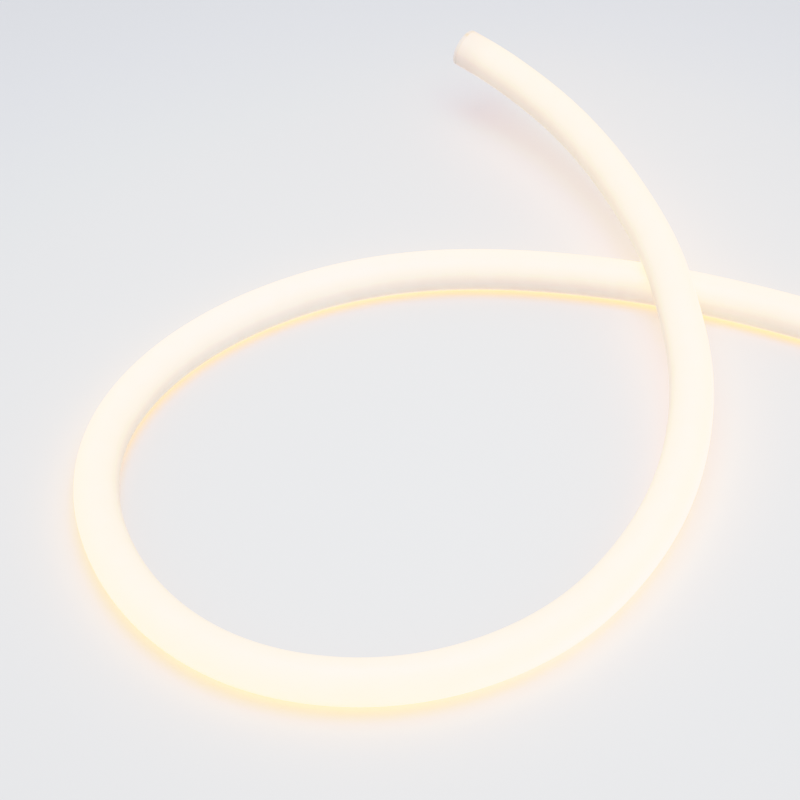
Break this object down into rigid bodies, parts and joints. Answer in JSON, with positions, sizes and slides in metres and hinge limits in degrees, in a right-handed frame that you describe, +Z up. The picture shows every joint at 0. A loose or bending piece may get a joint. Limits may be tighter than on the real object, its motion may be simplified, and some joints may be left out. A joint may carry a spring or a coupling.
{
  "type": "led neon flex",
  "caption": "Round flexible LED light line in a milky silicone tube, lit warm white, lying in an open loop that crosses over itself, with a flat cap on each end.",
  "frame": {"origin": "centre of the whole flex's box, at the floor it lies on", "axes": "+Z up; +X to the right and +Y away from the viewer as the flex is seen in the picture, with the lifted free end at the back and the feed end at the right"},
  "size_m": [0.3666, 0.3389, 0.0446],
  "materials": {
    "lit_silicone": "milky silicone with a satin skin, lit warm white from inside",
    "cap_silicone": "milky silicone with a satin skin, dimly lit from inside",
    "circuit": "white solder mask on a flexible circuit, with pale yellow light chips"
  },
  "bodies": {
    "root": {"diffuser_tube": "lit_silicone", "led_strip": "circuit", "end_cap_free": "cap_silicone", "end_cap_feed": "cap_silicone"}
  },
  "joints": []
}
